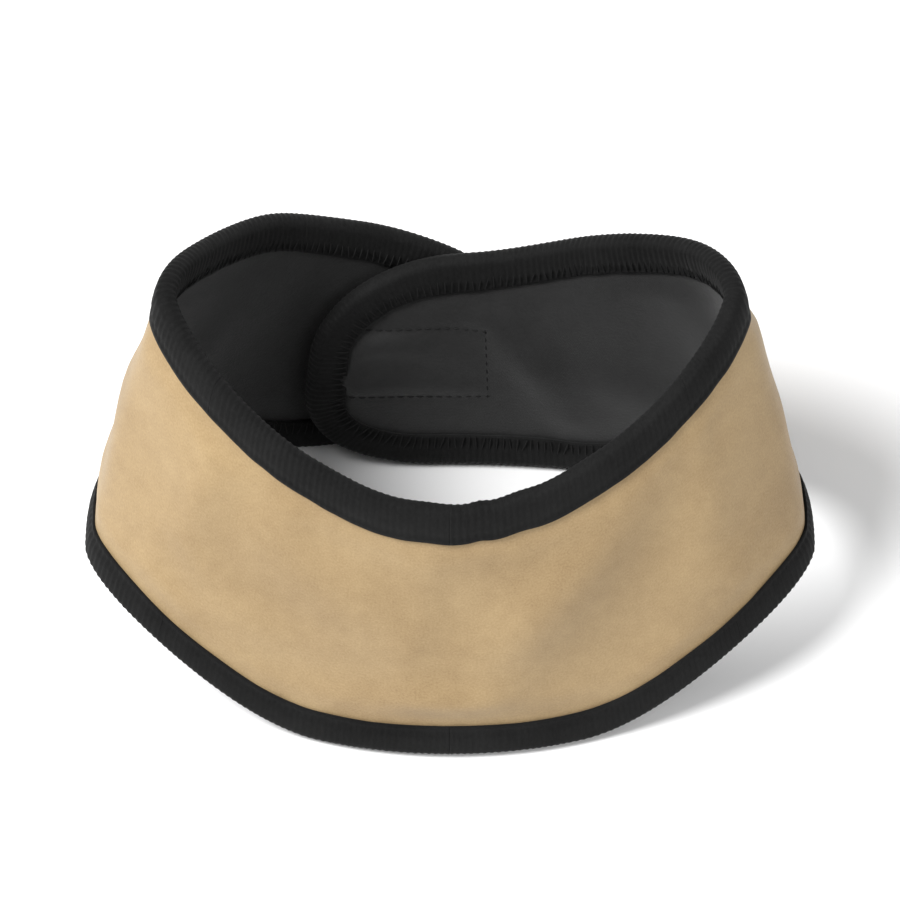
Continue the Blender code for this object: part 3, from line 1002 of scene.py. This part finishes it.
def add_patch(name, wing, face, node, material):
    """A fastening patch on one face of a wing, whose end runs under the tape."""
    near, far = patch_ends(wing[5])
    u = np.linspace(near, far, 40)
    low, high = wall_span(u, PATCH_UNDER_TAPE)
    low = np.maximum(low, PATCH_MIDDLE - PATCH_WIDTH / 2)
    high = np.minimum(high, PATCH_MIDDLE + PATCH_WIDTH / 2)
    w = low[:, None] + (high - low)[:, None] * np.linspace(0.0, 1.0, 26)[None, :]
    grid_u = np.broadcast_to(u[:, None], w.shape)
    clear_of_tape = smooth(tape_distance(grid_u, w), -2.5, 0.6)
    outer = wall_points(grid_u, w, face * (TAPE_INNER + 0.05 + 0.45 * clear_of_tape))
    inner = wall_points(grid_u, w, face * 1.5)
    points = np.concatenate([outer, inner[:, ::-1]], axis=1)
    uvs = np.stack([grid_u * HALF_LENGTH / MAP_UNIT, w / MAP_UNIT], axis=-1)
    uvs = np.concatenate([uvs, uvs[:, ::-1]], axis=1)
    piece = new_piece(name, points, tube_faces(len(u), points.shape[1]), material, uvs)
    settle(piece, wing, (node,))


def patch_ends(end):
    """The u of a patch's free edge and of its edge under the tape."""
    side = math.copysign(1.0, end)
    return end - side * PATCH_START / HALF_LENGTH, end - side * PATCH_TO_END / HALF_LENGTH


def add_pile(patch, wing, face, material, tree, strand):
    """The hooks or loops that stand on a patch where the tape leaves it bare."""
    near, far = patch_ends(wing[5])
    side = math.copysign(1.0, wing[5])
    lengths = np.arange(near + side * 0.7 / HALF_LENGTH, far, side * PILE_ALONG / HALF_LENGTH)
    bottom, top = PATCH_MIDDLE - PATCH_WIDTH / 2, PATCH_MIDDLE + PATCH_WIDTH / 2
    across = np.arange(bottom + 0.9, top - 0.6, PILE_ACROSS)
    spots = np.stack(np.meshgrid(lengths, across, indexing="ij"), axis=-1).reshape(-1, 2)
    spots = spots[tape_distance(spots[:, 0], spots[:, 1]) > 0.4]
    rng = np.random.default_rng(7)
    spots += rng.uniform(-PILE_JITTER, PILE_JITTER, spots.shape) * np.array([1.0 / HALF_LENGTH, 1.0])
    _, _, out = wall_frames(spots[:, 0])
    roots = wall_points(spots[:, 0], spots[:, 1], face * (TAPE_OUTER - 0.12))
    piece = guide_line(f"{patch}_pile", roots, out * face, out)
    lay_threads(piece, material, tree, strand)
    settle(piece, wing)


# ---- materials ---------------------------------------------------------------------------------

def noise_texture(tree, vector_socket, scale, detail, roughness=0.55):
    """A noise's mask on a vector socket. scale is a number or a socket."""
    node = tree.nodes.new("ShaderNodeTexNoise")
    node.inputs["Detail"].default_value = detail
    node.inputs["Roughness"].default_value = roughness
    tree.links.new(vector_socket, node.inputs["Vector"])
    if isinstance(scale, (int, float)):
        node.inputs["Scale"].default_value = scale
    else:
        tree.links.new(scale, node.inputs["Scale"])
    return node.outputs["Fac"]


def knit_group():
    """Fine knitted loops on the surface's own map, softened by fuzz. Puts out a height and a speckle."""
    tree, entry, leave = node_group(
        "ShaderNodeTree", "fine_knit",
        [("Surface", "Vector", None), ("Loops per cm", "Float", 18.0), ("Fuzz", "Float", 0.5)],
        [("Height", "Float"), ("Speckle", "Float")])
    link = tree.links.new
    parts = tree.nodes.new("ShaderNodeSeparateXYZ")
    link(entry.outputs["Surface"], parts.inputs[0])
    waves = []
    for axis, share in (("X", 1.0), ("Y", 1.45)):
        count = maths(tree, "MULTIPLY", entry.outputs["Loops per cm"], share * 2 * math.pi)
        waves.append(maths(tree, "SINE", maths(tree, "MULTIPLY", parts.outputs[axis], count)))
    loops = maths(tree, "MULTIPLY", waves[0], waves[1])
    fuzz_scale = maths(tree, "MULTIPLY", entry.outputs["Loops per cm"], 0.9)
    fuzz = noise_texture(tree, entry.outputs["Surface"], fuzz_scale, 5.0, 0.7)
    soft = maths(tree, "MULTIPLY", maths(tree, "SUBTRACT", fuzz, 0.5), entry.outputs["Fuzz"])
    link(maths(tree, "ADD", maths(tree, "MULTIPLY", loops, 0.25), maths(tree, "MULTIPLY", soft, 2.0)),
         leave.inputs["Height"])
    link(fuzz, leave.inputs["Speckle"])
    return tree


def shade_group():
    """Slow unevenness of a dyed fabric. Puts out a mask that changes over centimetres."""
    tree, entry, leave = node_group(
        "ShaderNodeTree", "dye_variation",
        [("Place", "Vector", None), ("Scale", "Float", 30.0)], [("Mask", "Float")])
    fine_scale = maths(tree, "MULTIPLY", entry.outputs["Scale"], 9.0)
    broad = noise_texture(tree, entry.outputs["Place"], entry.outputs["Scale"], 3.0)
    fine = noise_texture(tree, entry.outputs["Place"], fine_scale, 4.0)
    mixed = maths(tree, "ADD", maths(tree, "MULTIPLY", broad, 0.7), maths(tree, "MULTIPLY", fine, 0.3))
    tree.links.new(mixed, leave.inputs["Mask"])
    return tree


KNIT = knit_group()
DYE = shade_group()


def grey(value):
    """A colour with no hue."""
    return (value, value, value)


def fabric(name, dark, light, roughness, loops, fuzz, bump, sheen, specular=0.3):
    """A knitted or woven fabric: dye variation between two colours, with the knit's bump."""
    material = bpy.data.materials.new(name)
    material.use_nodes = True
    tree = material.node_tree
    link = tree.links.new
    shader = tree.nodes["Principled BSDF"]
    where = tree.nodes.new("ShaderNodeTexCoord")
    knit, dye = (tree.nodes.new("ShaderNodeGroup") for _ in range(2))
    knit.node_tree, dye.node_tree = KNIT, DYE
    link(where.outputs["UV"], knit.inputs["Surface"])
    link(where.outputs["Object"], dye.inputs["Place"])
    knit.inputs["Loops per cm"].default_value = loops
    knit.inputs["Fuzz"].default_value = fuzz
    ramp = tree.nodes.new("ShaderNodeValToRGB")
    for stop, position, colour in zip(ramp.color_ramp.elements, DYE_RANGE, (dark, light)):
        stop.position = position
        stop.color = (*colour, 1.0)
    mask = maths(tree, "ADD", maths(tree, "MULTIPLY", dye.outputs["Mask"], 0.5),
                 maths(tree, "MULTIPLY", knit.outputs["Speckle"], 0.5))
    link(mask, ramp.inputs["Fac"])
    link(ramp.outputs["Color"], shader.inputs["Base Color"])
    rough = tree.nodes.new("ShaderNodeMapRange")
    rough.inputs["To Min"].default_value = roughness - ROUGHNESS_SPREAD
    rough.inputs["To Max"].default_value = roughness + ROUGHNESS_SPREAD
    link(knit.outputs["Speckle"], rough.inputs["Value"])
    link(rough.outputs["Result"], shader.inputs["Roughness"])
    shader.inputs["Specular IOR Level"].default_value = specular
    shader.inputs["Sheen Weight"].default_value = sheen
    shader.inputs["Sheen Roughness"].default_value = 0.5
    relief = tree.nodes.new("ShaderNodeBump")
    relief.inputs["Strength"].default_value = bump
    relief.inputs["Distance"].default_value = KNIT_DEPTH
    link(knit.outputs["Height"], relief.inputs["Height"])
    link(relief.outputs["Normal"], shader.inputs["Normal"])
    return material


def thread_material(name, colour):
    """Twisted thread, lighter and darker along its length."""
    material = bpy.data.materials.new(name)
    material.use_nodes = True
    tree = material.node_tree
    shader = tree.nodes["Principled BSDF"]
    where = tree.nodes.new("ShaderNodeTexCoord")
    twist = noise_texture(tree, where.outputs["Object"], 2500.0, 2.0)
    ramp = tree.nodes.new("ShaderNodeValToRGB")
    for stop, strength in zip(ramp.color_ramp.elements, (0.6, 1.5)):
        stop.color = (*[part * strength for part in colour], 1.0)
    tree.links.new(twist, ramp.inputs["Fac"])
    tree.links.new(ramp.outputs["Color"], shader.inputs["Base Color"])
    shader.inputs["Roughness"].default_value = 0.75
    shader.inputs["Specular IOR Level"].default_value = 0.15
    return material


# ---- studio ------------------------------------------------------------------------------------

def add_camera():
    """Looks down at the front of the collar, at the middle of the frame's box."""
    low, high = cad_box
    centre = (low + high) / 2
    back = Vector((0.0, -math.cos(CAMERA_ELEVATION), math.sin(CAMERA_ELEVATION)))
    camera = bpy.data.objects.new("camera", bpy.data.cameras.new("camera"))
    camera.data.lens = CAMERA_LENS
    camera.location = centre + back * CAMERA_DISTANCE
    camera.rotation_euler = (-back).to_track_quat("-Z", "Y").to_euler()
    bpy.context.scene.collection.objects.link(camera)
    bpy.context.scene.camera = camera


def add_light(name, place, size, power):
    """A round area light turned towards the collar."""
    light = bpy.data.lights.new(name, "AREA")
    light.shape, light.size, light.energy = "DISK", size, power
    lamp = bpy.data.objects.new(name, light)
    lamp.location = place
    lamp.rotation_euler = (LIGHT_TARGET - Vector(place)).to_track_quat("-Z", "Y").to_euler()
    bpy.context.scene.collection.objects.link(lamp)


def add_studio():
    """A pale floor, a key light from the left, a weak fill and a white surround."""
    mesh = bpy.data.meshes.new("floor")
    corners = [(x * FLOOR_HALF, y * FLOOR_HALF, 0.0) for x, y in ((-1, -1), (1, -1), (1, 1), (-1, 1))]
    mesh.from_pydata(corners, [], [(0, 1, 2, 3)])
    floor = bpy.data.objects.new("floor", mesh)
    bpy.context.scene.collection.objects.link(floor)
    pale = bpy.data.materials.new("pale_floor")
    pale.use_nodes = True
    shader = pale.node_tree.nodes["Principled BSDF"]
    shader.inputs["Base Color"].default_value = (*grey(0.92), 1.0)
    shader.inputs["Roughness"].default_value = 0.9
    mesh.materials.append(pale)
    add_light("key", (-0.7, -0.1, 1.2), 0.6, 25.0)
    add_light("fill", (0.9, -0.7, 0.9), 1.0, 5.0)
    world = bpy.data.worlds.new("studio")
    world.use_nodes = True
    background = world.node_tree.nodes["Background"]
    background.inputs["Color"].default_value = (*grey(1.0), 1.0)
    background.inputs["Strength"].default_value = 0.50
    bpy.context.scene.world = world
    bpy.context.scene.view_settings.view_transform = "Standard"


# ---- the collar --------------------------------------------------------------------------------

def main():
    """The whole visible collar, in its studio."""
    add_camera()
    add_studio()
    beige = fabric("beige_cover", (0.272, 0.181, 0.085), (0.402, 0.286, 0.147), 0.55, 20.0, 0.5, 0.5, 0.12)
    black = fabric("black_lining", grey(0.005), grey(0.015), 0.62, 14.0, 0.8, 0.7, 0.12, 0.35)
    tape = fabric("binding_tape", grey(0.003), grey(0.011), 0.8, 24.0, 0.6, 0.5, 0.03, 0.12)
    foam = fabric("foam", (0.62, 0.58, 0.46), (0.72, 0.68, 0.57), 0.9, 8.0, 1.0, 0.8, 0.0)
    patch = fabric("patch_weave", grey(0.002), grey(0.006), 0.9, 12.0, 0.8, 0.8, 0.0)
    pile = thread_material("patch_strands", grey(0.006))
    dark_thread = thread_material("dark_thread", grey(0.012))
    brown_thread = thread_material("brown_thread", (0.10, 0.055, 0.025))

    u, w = panel_grid()
    inner = np.full(u.shape, FABRIC_INNER)
    core = np.full(u.shape, FOAM_OUTER)
    add_panels("cover", beige, cover_height(u, w, cloth_relief()), inner)
    add_panels("lining", black, -lining_height(u, w), -inner)
    add_panels("foam", foam, core, -core)
    add_binding(tape)

    threads, strands = thread_tree(), pile_tree()
    add_overlock(dark_thread, threads)
    right_wing, left_wing = SPANS[2], SPANS[6]
    add_box_stitches(right_wing, -1.0, lining_height, dark_thread, threads)
    add_box_stitches(left_wing, 1.0, cover_height, brown_thread, threads)
    hooks = {"Length": 0.55 * MM, "Radius": 0.10 * MM, "Rise": 0.95 * MM, "Seed": 3}
    loops = {"Length": 1.1 * MM, "Radius": 0.07 * MM, "Rise": 0.80 * MM, "Seed": 9}
    add_patch("hook_patch", right_wing, 1.0, "right_hook_patch", patch)
    add_pile("hook_patch", right_wing, 1.0, pile, strands, hooks)
    add_patch("loop_patch", left_wing, -1.0, "left_loop_patch", patch)
    add_pile("loop_patch", left_wing, -1.0, pile, strands, loops)


main()
